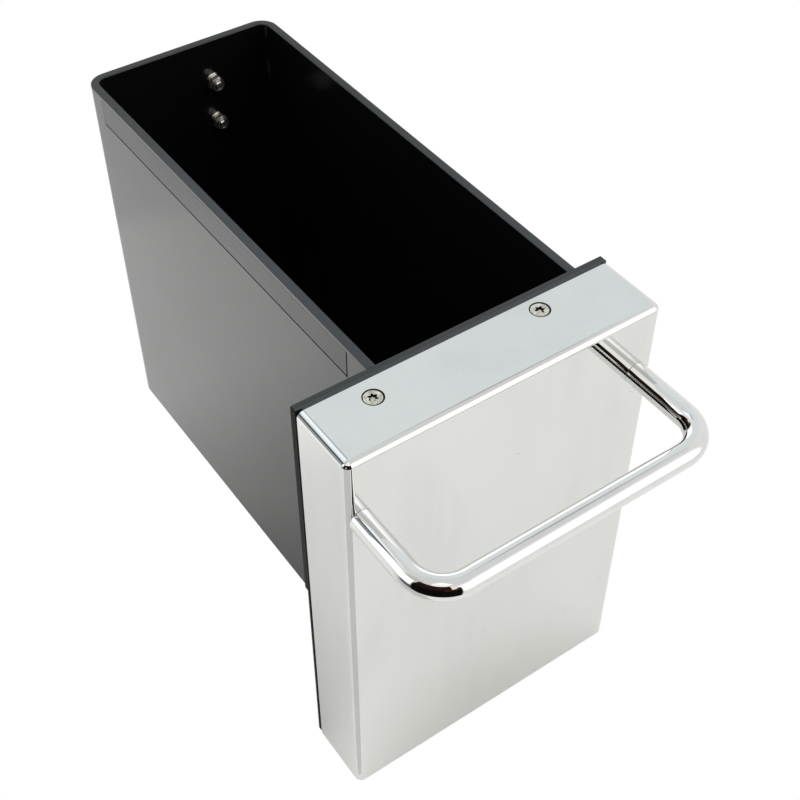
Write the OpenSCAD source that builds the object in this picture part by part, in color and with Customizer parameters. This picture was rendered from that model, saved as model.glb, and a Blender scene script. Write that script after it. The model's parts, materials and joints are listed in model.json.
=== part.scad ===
// Pull-out refuse bin with a mirror-polished front and a bow handle.
// Millimetres. +Z is up, the front faces -Y, and +X is to the right of a
// person who stands in front of it. The origin is the centre of the bounding
// box's underside. Inside the modules y = 0 is the closing plane, where the
// front panel meets the housing that the bin slides into, and z = 0 is the
// bottom edge of the front cover.

/* [Front cover] */
// Width of the front cover
cover_w = 176; // [170:1:200]
// Height of the front cover
cover_h = 264; // [250:1:300]
// Depth of the front cover's folded sides
cover_d = 38; // [34:1:50]
// Thickness of the polished sheet
cover_t = 1.5; // [1:0.1:2]
// Outer radius of the cover's level edges and of its corners seen from the front
edge_r = 3.2; // [2.5:0.1:5]
// Outer radius of the cover's two upright front edges
upright_r = 4.2; // [3:0.1:6]

/* [Bin] */
// Outer width of the bin
bin_w = 120; // [110:1:130]
// Length of the bin behind the closing plane
bin_l = 285; // [240:1:340]
// Height of the bin
bin_h = 240; // [220:1:245]
// Distance of the bin's centre line to the right of the cover's
bin_shift = 11.8; // [0:0.1:12]
// Thickness of the bin's sheet
wall_t = 4.8; // [4:0.1:6]
// Outer radius of the two bends at the rear
bend_r = 11; // [8:0.5:16]

/* [Front panel] */
// Thickness of the panel that closes the front of the bin
panel_t = 2.5; // [2:0.1:4]
// Thickness of the full-size plate in front of that panel
plate_t = 1.5; // [1:0.1:3]
// Thickness of the gasket between the plate and the cover
gasket_t = 1.4; // [1:0.1:2]

/* [Handle] */
// Outer diameter of the handle's tube
tube_d = 12; // [10:0.5:14]
// Distance between the centres of the handle's legs
handle_span = 158; // [140:1:160]
// Distance from the cover's face to the centre of the bar
handle_reach = 52.6; // [40:0.1:70]
// Radius of the tube's bends at its centre line
handle_bend_r = 18.2; // [14:0.1:24]
// Distance of the handle's centre to the left of the cover's
handle_shift = 2.2; // [0:0.1:3]
// Distance of the bar's centre below the top edge
handle_drop = 37.8; // [30:0.1:60]

/* [Hidden] */
$fn = 96;
cut = 1;                                // how far a cut runs past the face it opens
eps = 0.01;                             // overlap that joins two solids of one piece

// Colours
black_sheet = [0.10, 0.11, 0.115];
black_matt = [0.05, 0.05, 0.052];
mirror_steel = [0.86, 0.86, 0.85];
zinc = [0.72, 0.70, 0.64];
raw_aluminium = [0.70, 0.71, 0.72];

// Positions along Y, from the closing plane towards the front
plate_y = -panel_t;                     // rear face of the backing plate
gasket_y = plate_y - plate_t;           // rear face of the gasket
cover_y = gasket_y - gasket_t;          // rear edge of the cover
face_y = cover_y - cover_d;             // outer face of the cover
skin_y = face_y + cover_t;              // inner face of the cover's skin
bar_y = face_y - handle_reach;          // centre of the handle's bar

// The bin
bin_x0 = bin_shift - bin_w / 2;         // outer face of the left wall
bin_x1 = bin_shift + bin_w / 2;         // outer face of the right wall
bin_z0 = cover_h - bin_h;               // underside of the bin
rear_y = bin_l - wall_t;                // inner face of the rear wall
ear_z = cover_h / 2;                    // lower edge of the front panel's ears
ear_r = 3;                              // radius at the ears' lower corners
plate_r = 1;                            // radius at the plates' top corners
plate_foot_r = 5;                       // radius at the backing plate's foot

// Glide strips, let into the outer faces of the side walls
strip_t = 0.8;                          // thickness, flush with the wall
strip_top = 2.8;                        // distance of the top edge below the rim
strip_h = 15;                           // height
strip_y0 = 16.8;                        // front end
strip_y1 = bin_l - 21;                  // rear end
strip_gap = 0.7;                        // groove below and in front of a strip

// The gasket is a frame. It is flush with the cover along the top and set in at
// the sides and the foot, where its edge stays in shade. The rails and the cover's
// rear edge bear on it.
gasket_inset = 1;
gasket_top_r = 4.5;                     // radius at its top corners
gasket_side_w = 8;
gasket_overlap = 2.5;                   // how far it runs past the rails' legs

// M5 hardware, used all through
m5_d = 5;
m5_clear_d = 5.5;
hex_af = 8;                             // bolt heads and nuts, across flats
hex_head_h = 3.6;
hex_face_ratio = 0.93;                  // flat face of a chamfered hexagon, as part of its width
hex_chamfer_h = 0.5;
m5_nut_h = 4.2;
pan_head_d = 9.5;
pan_head_h = 3;
washer_d = 10;
washer_t = 0.9;
six_lobe_pitch_r = 1.7;                 // six-lobe recess: its lobes and its core
six_lobe_r = 0.53;
six_lobe_core_r = 1.6;
six_lobe_turn = 12;                     // angle at which the screws came to rest

// The handle and what holds it
tube_wall = 1.5;
tube_bore_d = tube_d - 2 * tube_wall;
handle_x = [-handle_shift - handle_span / 2, -handle_shift + handle_span / 2];
handle_z = cover_h - handle_drop;
plug_l = 16;                            // threaded plug in each end of the tube
stiffener_t = 3;
stiffener_h = 20;
stiffener_gap = 0.2;                    // gap to the cover's inner sides
handle_screw_l = 14;
handle_head_d = 8.5;
handle_head_h = 5;
handle_key_af = 4;

// Rails that hold the cover, folded from sheet into an angle
rail_t = 3;
rail_w = 150;
rail_reach = 22;                        // leg that lies along the cover's flange
top_screw_z = cover_h - 13;
top_rail_h = 20;                        // leg that lies on the gasket
bottom_screw_z = bin_z0 + 12;
bottom_rail_h = bottom_screw_z + 8;
rail_screw_x = [bin_x0 + 20, bin_x1 - 20];
pan_recess_h = 1.8;
rail_screw_tail = 1;                    // thread left standing out of the nut

// Countersunk screws in the cover's flanges: [x, y] of each one
top_screws = [[-55.6, -16.1], [39.2, -13.4]];
bottom_screws = [[-55.6, -15], [39.2, -15]];
sink_d = 10.4;                          // mouth of the countersink
sunk_head_d = 9.3;
sunk_rim_h = 0.45;                      // straight rim above the head's cone
sunk_screw_l = 12;
sunk_recess_h = 1.9;
cone_depth = (sink_d - sunk_head_d) / 2; // how deep the head's cone starts in its 90 degree seat

// Bolts put in through the rear wall from behind, and the bracket that they hold
bolt_x = 29.5;
bolt_z = [cover_h - 26.2, cover_h - 53.2];
bolt_tail = 0.6;                        // thread left standing out of the nut
lock_nut_hex_h = 3.4;                   // hexagon of the self-locking nuts inside the bin
lock_nut_h = 5;                         // their whole height, with the collar
lock_nut_collar_d = 7.4;
lock_washer_d = 9;
lock_washer_t = 1.3;
lock_split = 1.1;                       // gap in the lock washer
lock_split_turn = 40;                   // its angle below the level on the right
bracket_t = 2;
bracket_w = 26;
bracket_reach = 16;
bracket_top = cover_h - 17;
bracket_foot = cover_h - 72;
bracket_r = 3;                          // outer radius of the bracket's bend
latch_hole_d = 6.5;

// Centre of the bounding box along Y: from the bar's front to the bracket's rear
front_end = bar_y - tube_d / 2;
rear_end = bin_l + bracket_reach;
frame_y = -(front_end + rear_end) / 2;

// Moves a piece from the closing plane's frame into the part's own frame
module placed() {
    translate([0, frame_y, 0]) children();
}

// What a round of radius r takes away from the corner of a square at the origin
module corner_waste(r) {
    difference() {
        translate([-cut, -cut]) square(r + cut);
        translate([r, r]) circle(r);
    }
}

// Rectangle from [0, 0] to [w, h] with its own radius at each corner, in the
// order lower left, lower right, upper right, upper left
module rounded_rect(w, h, radii) {
    difference() {
        square([w, h]);
        if (radii[0] > 0) corner_waste(radii[0]);
        if (radii[1] > 0) translate([w, 0]) mirror([1, 0]) corner_waste(radii[1]);
        if (radii[2] > 0) translate([w, h]) rotate(180) corner_waste(radii[2]);
        if (radii[3] > 0) translate([0, h]) mirror([0, 1]) corner_waste(radii[3]);
    }
}

// Extrudes an outline drawn in X and Z from the plane y towards the rear
module extrude_y(y, length) {
    translate([0, y + length, 0]) rotate([90, 0, 0]) linear_extrude(length) children();
}

// Cylinder along Y from the plane y towards the rear
module rod_y(x, y, z, d, length) {
    translate([x, y, z]) rotate([-90, 0, 0]) cylinder(d = d, h = length);
}

// Hexagon across flats af along Y, with its outer face chamfered; it grows
// from the plane y in the direction of side (1 towards the rear)
module hex_y(x, y, z, af, h, side) {
    translate([x, y, z]) rotate([-90 * side, 0, 0]) intersection() {
        cylinder(d = af / cos(30), h = h, $fn = 6);
        union() {
            cylinder(d = af / cos(30) + cut, h = h - hex_chamfer_h);
            translate([0, 0, h - hex_chamfer_h])
                cylinder(d1 = af / cos(30), d2 = af * hex_face_ratio, h = hex_chamfer_h);
        }
    }
}

// ---------------------------------------------------------------- the bin

// Outline of the bin seen from above, at a distance inset inside its outer face
module bin_outline(inset) {
    r = bend_r - inset;
    translate([bin_x0 + inset, 0])
        rounded_rect(bin_w - 2 * inset, bin_l - inset, [0, 0, r, r]);
}

// Recess in a side wall for its glide strip; side is -1 on the left
module strip_recess(side) {
    wall_x = side < 0 ? bin_x0 - cut : bin_x1 - strip_t;
    z = cover_h - strip_top - strip_h - strip_gap;
    translate([wall_x, strip_y0 - strip_gap, z])
        cube([strip_t + cut, strip_y1 - strip_y0 + strip_gap, strip_h + strip_gap]);
}

module bin_wrap() {
    color(black_sheet) placed() difference() {
        translate([0, 0, bin_z0]) linear_extrude(bin_h) difference() {
            bin_outline(0);
            bin_outline(wall_t);
            translate([bin_x0 + wall_t, -cut]) square([bin_w - 2 * wall_t, 2 * cut]);
        }
        strip_recess(-1);
        strip_recess(1);
        for (z = bolt_z) rod_y(bolt_x, rear_y - cut, z, m5_clear_d, wall_t + 2 * cut);
    }
}

module bin_floor() {
    color(black_sheet) placed()
        translate([0, 0, bin_z0]) linear_extrude(wall_t) bin_outline(wall_t);
}

module bin_front_panel() {
    color(black_sheet) placed() difference() {
        extrude_y(plate_y, panel_t) union() {
            translate([-cover_w / 2, ear_z])
                rounded_rect(cover_w, cover_h - ear_z, [ear_r, ear_r, plate_r, plate_r]);
            translate([bin_x0, bin_z0]) square([bin_w, bin_h - plate_r]);
        }
        rail_screw_holes();
    }
}

module glide_strip(side) {
    wall_x = side < 0 ? bin_x0 : bin_x1 - strip_t;
    color(black_sheet) placed()
        translate([wall_x, strip_y0, cover_h - strip_top - strip_h])
            cube([strip_t, strip_y1 - strip_y0, strip_h]);
}

module left_glide_strip() { glide_strip(-1); }
module right_glide_strip() { glide_strip(1); }

// -------------------------------------------------------------- the front

module backing_plate() {
    color(black_matt) placed() difference() {
        extrude_y(gasket_y, plate_t) translate([-cover_w / 2, 0])
            rounded_rect(cover_w, cover_h, [plate_foot_r, plate_foot_r, plate_r, plate_r]);
        rail_screw_holes();
    }
}

module cover_gasket() {
    outer_w = cover_w - 2 * gasket_inset;
    outer_h = cover_h - gasket_inset;
    z0 = cover_t + bottom_rail_h + gasket_overlap;
    z1 = cover_h - cover_t - top_rail_h - gasket_overlap;
    foot_r = edge_r - gasket_inset;
    color(black_matt) placed() difference() {
        extrude_y(cover_y, gasket_t) difference() {
            translate([-outer_w / 2, gasket_inset])
                rounded_rect(outer_w, outer_h, [foot_r, foot_r, gasket_top_r, gasket_top_r]);
            translate([-outer_w / 2 + gasket_side_w, z0])
                square([outer_w - 2 * gasket_side_w, z1 - z0]);
        }
        rail_screw_holes();
    }
}

// Tray with rounded edges, made by the three outlines that bound it. The open
// rear face lies at y = cover_y + over.
module tray_body(inset, over) {
    w = cover_w - 2 * inset;
    h = cover_h - 2 * inset;
    d = cover_d - inset + over;
    er = edge_r - inset;
    ur = upright_r - inset;
    intersection() {
        translate([-w / 2, face_y + inset, inset]) linear_extrude(h)
            rounded_rect(w, d, [ur, ur, 0, 0]);
        translate([-w / 2, face_y + inset, inset])
            rotate([90, 0, 90]) linear_extrude(w) rounded_rect(d, h, [er, 0, 0, er]);
        extrude_y(face_y + inset, d) translate([-w / 2, inset])
            rounded_rect(w, h, [er, er, er, er]);
    }
}

// Cuts the seat of a countersunk screw whose axis is Z, with its mouth at the
// origin, and the hole of diameter d below it
module screw_seat(depth, d) {
    translate([0, 0, -sink_d / 2]) cylinder(d1 = 0, d2 = sink_d, h = sink_d / 2);
    translate([0, 0, -eps]) cylinder(d = sink_d, h = cut);
    translate([0, 0, -depth]) cylinder(d = d, h = depth);
}

// Cuts the seats of the screws in the cover's top and bottom flanges
module cover_screw_seats(depth, d) {
    for (p = top_screws) translate([p[0], p[1], cover_h]) screw_seat(depth, d);
    for (p = bottom_screws) translate([p[0], p[1], 0]) mirror([0, 0, 1]) screw_seat(depth, d);
}

module front_cover() {
    color(mirror_steel) placed() difference() {
        tray_body(0, 0);
        tray_body(cover_t, cut);
        cover_screw_seats(cover_t + cut, m5_clear_d);
        for (x = handle_x) rod_y(x, face_y - cut, handle_z, m5_clear_d, cover_t + 2 * cut);
    }
}

// ------------------------------------------------- rails and their screws

module rail_screw_holes() {
    for (x = rail_screw_x, z = [top_screw_z, bottom_screw_z])
        rod_y(x, cover_y - rail_t - cut, z, m5_clear_d, rail_t - cover_y + 2 * cut);
}

// Angle with one leg up the gasket and one along the cover's flange
module rail_profile(leg) {
    translate([cover_y - rail_t, 0]) square([rail_t, leg]);
    translate([cover_y - rail_reach, leg - rail_t]) square([rail_reach, rail_t]);
}

module top_rail() {
    color(raw_aluminium) placed() difference() {
        translate([-rail_w / 2, 0, cover_h - cover_t - top_rail_h])
            rotate([90, 0, 90]) linear_extrude(rail_w) rail_profile(top_rail_h);
        cover_screw_seats(sunk_screw_l, m5_d);
        rail_screw_holes();
    }
}

module bottom_rail() {
    color(raw_aluminium) placed() difference() {
        translate([-rail_w / 2, 0, cover_t + bottom_rail_h]) mirror([0, 0, 1])
            rotate([90, 0, 90]) linear_extrude(rail_w) rail_profile(bottom_rail_h);
        cover_screw_seats(sunk_screw_l, m5_d);
        rail_screw_holes();
    }
}

// Pan-head screws put in from inside the bin
module rail_screws() {
    shank_l = rail_t - cover_y + m5_nut_h + rail_screw_tail;
    color(zinc) placed() for (x = rail_screw_x, z = [top_screw_z, bottom_screw_z]) {
        rod_y(x, -shank_l, z, m5_d, shank_l + eps);
        difference() {
            rod_y(x, 0, z, pan_head_d, pan_head_h);
            translate([x, pan_head_h, z]) rotate([-90, 0, 0]) six_lobe(pan_recess_h);
        }
    }
}

module rail_nuts() {
    color(zinc) placed() for (x = rail_screw_x, z = [top_screw_z, bottom_screw_z])
        difference() {
            hex_y(x, cover_y - rail_t, z, hex_af, m5_nut_h, -1);
            rod_y(x, cover_y - rail_t - m5_nut_h - cut, z, m5_d, m5_nut_h + 2 * cut);
        }
}

// Six-lobe recess that goes down from the plane z = 0
module six_lobe(depth) {
    translate([0, 0, -depth]) linear_extrude(depth + eps) union() {
        circle(six_lobe_core_r);
        for (i = [0:5]) rotate(60 * i + six_lobe_turn) translate([six_lobe_pitch_r, 0])
            circle(six_lobe_r);
    }
}

// Countersunk screw along Z whose seat's mouth is at the origin
module sunk_screw() {
    cone_h = (sunk_head_d - m5_d) / 2;
    top_z = sunk_rim_h - cone_depth;
    difference() {
        union() {
            translate([0, 0, -cone_depth - eps]) cylinder(d = sunk_head_d, h = sunk_rim_h + eps);
            translate([0, 0, -cone_depth - cone_h]) cylinder(d1 = m5_d, d2 = sunk_head_d, h = cone_h);
            translate([0, 0, -cone_depth - sunk_screw_l]) cylinder(d = m5_d, h = sunk_screw_l - cone_h);
        }
        translate([0, 0, top_z]) six_lobe(sunk_recess_h);
    }
}

module cover_top_screws() {
    color(zinc) placed() for (p = top_screws)
        translate([p[0], p[1], cover_h]) sunk_screw();
}

module cover_bottom_screws() {
    color(zinc) placed() for (p = bottom_screws)
        translate([p[0], p[1], 0]) mirror([0, 0, 1]) sunk_screw();
}

// ------------------------------------------------------------- the handle

// Solid in the shape of the whole bow, of diameter d
module bow(d) {
    leg_l = handle_reach - handle_bend_r;
    x0 = handle_x[0];
    x1 = handle_x[1];
    for (x = handle_x) rod_y(x, face_y - leg_l, handle_z, d, leg_l);
    translate([x0 + handle_bend_r, bar_y, handle_z]) rotate([0, 90, 0])
        cylinder(d = d, h = handle_span - 2 * handle_bend_r);
    translate([x0 + handle_bend_r, face_y - leg_l, handle_z]) rotate(180)
        rotate_extrude(angle = 90) translate([handle_bend_r, 0]) circle(d = d);
    translate([x1 - handle_bend_r, face_y - leg_l, handle_z]) rotate(270)
        rotate_extrude(angle = 90) translate([handle_bend_r, 0]) circle(d = d);
}

module handle_tube() {
    color(mirror_steel) placed() difference() {
        bow(tube_d);
        bow(tube_bore_d);
        for (x = handle_x) rod_y(x, face_y - cut, handle_z, tube_bore_d, 2 * cut);
    }
}

module handle_plugs() {
    screw_in = handle_screw_l - cover_t - stiffener_t - washer_t;
    color(raw_aluminium) placed() for (x = handle_x) difference() {
        rod_y(x, face_y - plug_l, handle_z, tube_bore_d, plug_l);
        rod_y(x, face_y - screw_in, handle_z, m5_d, screw_in + cut);
    }
}

// Flat bar behind the skin, rounded to fit inside the cover's upright edges
module handle_stiffener() {
    w = cover_w - 2 * cover_t - 2 * stiffener_gap;
    r = upright_r - cover_t;
    color(raw_aluminium) placed() difference() {
        translate([-w / 2, skin_y, handle_z - stiffener_h / 2]) linear_extrude(stiffener_h)
            rounded_rect(w, stiffener_t, [r, r, 0, 0]);
        for (x = handle_x)
            rod_y(x, skin_y - cut, handle_z, m5_clear_d, stiffener_t + 2 * cut);
    }
}

module handle_washers() {
    y = skin_y + stiffener_t;
    color(zinc) placed() for (x = handle_x) difference() {
        rod_y(x, y, handle_z, washer_d, washer_t);
        rod_y(x, y - cut, handle_z, m5_clear_d, washer_t + 2 * cut);
    }
}

// Socket-head screws put in from inside the cover
module handle_screws() {
    seat_y = skin_y + stiffener_t + washer_t;
    color(zinc) placed() for (x = handle_x) {
        rod_y(x, seat_y - handle_screw_l, handle_z, m5_d, handle_screw_l + eps);
        difference() {
            rod_y(x, seat_y, handle_z, handle_head_d, handle_head_h);
            translate([x, seat_y + handle_head_h / 2, handle_z]) rotate([-90, 0, 0])
                cylinder(d = handle_key_af / cos(30), h = handle_head_h, $fn = 6);
        }
    }
}

// ------------------------------------------ rear bolts and their bracket

module rear_bolts() {
    head_y = bin_l + bracket_t + washer_t;
    end_y = rear_y - washer_t - lock_washer_t - lock_nut_h - bolt_tail;
    color(zinc) placed() for (z = bolt_z) {
        hex_y(bolt_x, head_y, z, hex_af, hex_head_h, 1);
        rod_y(bolt_x, end_y, z, m5_d, head_y - end_y + eps);
    }
}

module washer_y(y, z, d, t) {
    difference() {
        rod_y(bolt_x, y, z, d, t);
        rod_y(bolt_x, y - cut, z, m5_d, t + 2 * cut);
    }
}

module rear_plain_washers() {
    color(zinc) placed() for (z = bolt_z)
        washer_y(rear_y - washer_t, z, washer_d, washer_t);
}

// Lock washers have a split, seen on the lower right
module rear_lock_washers() {
    y = rear_y - washer_t - lock_washer_t;
    color(zinc) placed() for (z = bolt_z) difference() {
        washer_y(y, z, lock_washer_d, lock_washer_t);
        translate([bolt_x, y - cut, z]) rotate([0, lock_split_turn, 0])
            translate([0, 0, -lock_split / 2])
                cube([lock_washer_d, lock_washer_t + 2 * cut, lock_split]);
    }
}

module rear_outer_washers() {
    color(zinc) placed() for (z = bolt_z)
        washer_y(bin_l + bracket_t, z, washer_d, washer_t);
}

// Self-locking nuts: a hexagon with a round collar towards the bin's front
module rear_nuts() {
    y = rear_y - washer_t - lock_washer_t;
    color(zinc) placed() for (z = bolt_z) difference() {
        union() {
            hex_y(bolt_x, y, z, hex_af, lock_nut_hex_h, -1);
            rod_y(bolt_x, y - lock_nut_h, z, lock_nut_collar_d, lock_nut_h - eps);
        }
        rod_y(bolt_x, y - lock_nut_h - cut, z, m5_d, lock_nut_h + 2 * cut);
    }
}

// Angle bracket: one leg on the rear wall, one standing out with a latch hole
module rear_bracket() {
    color(zinc) placed() difference() {
        translate([bolt_x - bracket_w / 2, bin_l, bracket_foot])
            rotate([90, 0, 90]) linear_extrude(bracket_w) difference() {
                rounded_rect(bracket_reach, bracket_top - bracket_foot, [bracket_r, 0, 0, 0]);
                translate([bracket_t, bracket_t]) rounded_rect(
                    bracket_reach, bracket_top - bracket_foot, [bracket_r - bracket_t, 0, 0, 0]);
            }
        for (z = bolt_z) rod_y(bolt_x, bin_l - cut, z, m5_clear_d, bracket_t + 2 * cut);
        translate([bolt_x, bin_l + (bracket_reach + bracket_t) / 2, bracket_foot - cut])
            cylinder(d = latch_hole_d, h = bracket_t + 2 * cut);
    }
}

bin_wrap();
bin_floor();
bin_front_panel();
backing_plate();
cover_gasket();
front_cover();
handle_tube();
handle_plugs();
handle_screws();
handle_washers();
handle_stiffener();
top_rail();
bottom_rail();
rail_screws();
rail_nuts();
cover_top_screws();
cover_bottom_screws();
left_glide_strip();
right_glide_strip();
rear_bracket();
rear_bolts();
rear_plain_washers();
rear_lock_washers();
rear_outer_washers();
rear_nuts();
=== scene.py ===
import json
from math import cos, pi, radians, sin, tan

import bpy
from mathutils import Matrix, Quaternion, Vector


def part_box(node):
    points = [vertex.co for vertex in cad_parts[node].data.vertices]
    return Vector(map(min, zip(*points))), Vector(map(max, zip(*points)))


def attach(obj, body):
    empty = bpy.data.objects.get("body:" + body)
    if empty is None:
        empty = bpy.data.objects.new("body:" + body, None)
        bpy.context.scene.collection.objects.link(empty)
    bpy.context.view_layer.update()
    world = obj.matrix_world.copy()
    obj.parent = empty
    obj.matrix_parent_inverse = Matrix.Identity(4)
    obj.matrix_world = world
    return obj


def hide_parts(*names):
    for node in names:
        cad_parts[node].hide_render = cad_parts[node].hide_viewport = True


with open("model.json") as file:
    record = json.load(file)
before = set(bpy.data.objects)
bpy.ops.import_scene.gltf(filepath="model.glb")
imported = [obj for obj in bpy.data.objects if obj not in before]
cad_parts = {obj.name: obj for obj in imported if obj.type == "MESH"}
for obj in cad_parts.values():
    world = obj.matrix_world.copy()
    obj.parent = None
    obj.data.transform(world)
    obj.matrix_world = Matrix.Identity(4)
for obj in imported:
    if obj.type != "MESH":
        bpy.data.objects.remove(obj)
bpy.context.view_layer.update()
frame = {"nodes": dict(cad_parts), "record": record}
nodes = frame["nodes"]

MM = 0.001
BODY = "root"


# ------------------------------------------------------------------ measures
# Sizes and places come from the imported model's own nodes where it has them, in metres;
# the rest are given here.

wrap_lo, wrap_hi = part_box("bin_wrap")
floor_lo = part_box("bin_floor")[0]
panel_lo, panel_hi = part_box("bin_front_panel")
plate_lo, plate_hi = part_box("backing_plate")
cover_lo, cover_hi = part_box("front_cover")
tube_lo, tube_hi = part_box("handle_tube")
plug_lo, plug_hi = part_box("handle_plugs")

WALL = floor_lo.x - wrap_lo.x
COVER_FACE_Y = cover_lo.y
COVER_TOP = cover_hi.z

BEND_R = 11 * MM                # outer radius of the bin's two bends
SHEET_T = 1.5 * MM              # the cover's sheet
COVER_R = Vector((4.2, 3.9, 3.2)) * MM  # how far its edges round off along X, Y and Z
EAR_Z = (cover_lo.z + cover_hi.z) / 2   # lower edge of the front panel's ears
TUBE_R = (tube_hi.z - tube_lo.z) / 2
TUBE_BEND_R = 18.2 * MM
SINK_R = 5.2 * MM               # mouth of the countersinks
SUNK_HEAD_R = 4.65 * MM         # largest head of the CAD's countersunk screws
HEAD_R = 4.48 * MM              # head as shown, a little under that size
HEX_ACROSS = 8 * MM             # M5 bolt heads and nuts
M5_R = 2.5 * MM


# ----------------------------------------------------------------- materials

def clear_material(name):
    """A new node material: its node tree, its shader and a shortcut that adds nodes."""
    mat = bpy.data.materials.new(name)
    mat.use_nodes = True
    tree = mat.node_tree
    shader = tree.nodes["Principled BSDF"]
    return mat, tree, shader


def add(tree, kind, **values):
    """Adds a node and sets its attributes, or its inputs where it has no such attribute."""
    node = tree.nodes.new(kind)
    for key, value in values.items():
        if hasattr(node, key):
            setattr(node, key, value)
        else:
            node.inputs[key.replace("_", " ")].default_value = value
    return node


def mapped(tree, scale=(1, 1, 1), turn=(0, 0, 0)):
    """Object coordinates, in metres, turned and stretched."""
    coords = add(tree, "ShaderNodeTexCoord")
    mapping = add(tree, "ShaderNodeMapping")
    mapping.inputs["Scale"].default_value = scale
    mapping.inputs["Rotation"].default_value = [radians(a) for a in turn]
    tree.links.new(coords.outputs["Object"], mapping.inputs["Vector"])
    return mapping.outputs["Vector"]


def noise(tree, vector, scale, detail=3.0, roughness=0.55, distortion=0.0):
    node = add(tree, "ShaderNodeTexNoise", Scale=scale, Detail=detail,
               Roughness=roughness, Distortion=distortion)
    tree.links.new(vector, node.inputs["Vector"])
    return node.outputs["Fac"]


def ramp(tree, value, stops):
    """Colour ramp; each stop is (place, grey or colour)."""
    node = add(tree, "ShaderNodeValToRGB")
    elements = node.color_ramp.elements
    while len(elements) < len(stops):
        elements.new(0.5)
    for element, (place, colour) in zip(elements, stops):
        if not hasattr(colour, "__len__"):
            colour = (colour, colour, colour)
        element.position = place
        element.color = (*colour, 1)
    tree.links.new(value, node.inputs["Fac"])
    return node.outputs["Color"]


def mix(tree, blend, factor, a, b):
    """Mixes two colours; each of a and b is a socket or a colour."""
    node = add(tree, "ShaderNodeMix", data_type="RGBA", blend_type=blend)
    for socket, value in ((node.inputs[0], factor), (node.inputs[6], a), (node.inputs[7], b)):
        if isinstance(value, bpy.types.NodeSocket):
            tree.links.new(value, socket)
        else:
            socket.default_value = value if isinstance(value, (int, float)) else (*value, 1)
    return node.outputs[2]


def spread(tree, value, low, high):
    """Maps a 0 to 1 value onto low to high."""
    node = add(tree, "ShaderNodeMapRange")
    node.inputs["To Min"].default_value = low
    node.inputs["To Max"].default_value = high
    tree.links.new(value, node.inputs["Value"])
    return node.outputs["Result"]


def maths(tree, operation, *values):
    """Math node whose inputs are sockets or numbers."""
    node = add(tree, "ShaderNodeMath", operation=operation)
    for socket, value in zip(node.inputs, values):
        if isinstance(value, bpy.types.NodeSocket):
            tree.links.new(value, socket)
        else:
            socket.default_value = value
    return node.outputs[0]


def bumped(tree, shader, layers):
    """Chains bumps; each layer is (height socket, strength, distance in metres)."""
    previous = None
    for height, strength, distance in layers:
        bump = add(tree, "ShaderNodeBump", Strength=strength, Distance=distance)
        tree.links.new(height, bump.inputs["Height"])
        if previous is not None:
            tree.links.new(previous, bump.inputs["Normal"])
        previous = bump.outputs["Normal"]
    tree.links.new(previous, shader.inputs["Normal"])


def mirror_steel():
    """Polished stainless sheet: slow waves, wiped diagonal smudges and dust."""
    mat, tree, shader = clear_material("mirror_steel")
    shader.inputs["Metallic"].default_value = 1.0
    smudge = noise(tree, mapped(tree, (1, 1, 0.6), (0, 40, 0)), 13, 3, 0.55, 0.8)
    wiped = noise(tree, mapped(tree, (7, 7, 0.8), (0, 52, 0)), 9, 2, 0.5, 0.3)
    film = mix(tree, "MULTIPLY", 1.0, ramp(tree, smudge, [(0.42, 0.0), (0.78, 1.0)]),
               ramp(tree, wiped, [(0.40, 0.3), (0.70, 1.0)]))
    specks = add(tree, "ShaderNodeTexVoronoi", Scale=62)
    tree.links.new(mapped(tree), specks.inputs["Vector"])
    dust = ramp(tree, specks.outputs["Distance"], [(0.022, 1.0), (0.040, 0.0)])
    polish = mix(tree, "MIX", film, (0.727, 0.730, 0.714), (0.655, 0.655, 0.643))
    colour = mix(tree, "MIX", dust, polish, (0.50, 0.48, 0.44))
    tree.links.new(colour, shader.inputs["Base Color"])
    tree.links.new(spread(tree, film, 0.010, 0.035), shader.inputs["Roughness"])
    waves = noise(tree, mapped(tree), 9, 1, 0.4)
    bumped(tree, shader, [(waves, 0.05, 0.0012)])
    return mat


def handle_chrome():
    """Polished tube: as bright as the cover, with faint handling marks."""
    mat, tree, shader = clear_material("handle_chrome")
    shader.inputs["Metallic"].default_value = 1.0
    marks = noise(tree, mapped(tree, (1, 1, 3)), 60, 4, 0.6, 0.6)
    film = ramp(tree, marks, [(0.45, 0.0), (0.80, 1.0)])
    colour = mix(tree, "MIX", film, (0.745, 0.745, 0.735), (0.690, 0.690, 0.680))
    tree.links.new(colour, shader.inputs["Base Color"])
    tree.links.new(spread(tree, film, 0.02, 0.06), shader.inputs["Roughness"])
    bumped(tree, shader, [(noise(tree, mapped(tree), 14, 1, 0.4), 0.03, 0.0006)])
    return mat


def black_sheet(name, tone, rough, ior):
    """Glossy black sheet: slight orange peel, hazy wiping marks and fine scratches."""
    mat, tree, shader = clear_material(name)
    shader.inputs["IOR"].default_value = ior
    cloud = noise(tree, mapped(tree), 12, 4, 0.6, 0.5)
    colour = mix(tree, "MIX", cloud, tone, [c * 1.5 for c in tone])
    tree.links.new(colour, shader.inputs["Base Color"])
    tree.links.new(spread(tree, cloud, rough - 0.05, rough + 0.05), shader.inputs["Roughness"])
    peel = noise(tree, mapped(tree), 420, 2, 0.5)
    scratch = noise(tree, mapped(tree, (40, 1, 40), (18, 0, 0)), 22, 2, 0.5)
    fine = ramp(tree, scratch, [(0.62, 0.0), (0.68, 1.0)])
    bumped(tree, shader, [(peel, 0.05, 0.0002), (fine, 0.03, 0.0001)])
    return mat


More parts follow.
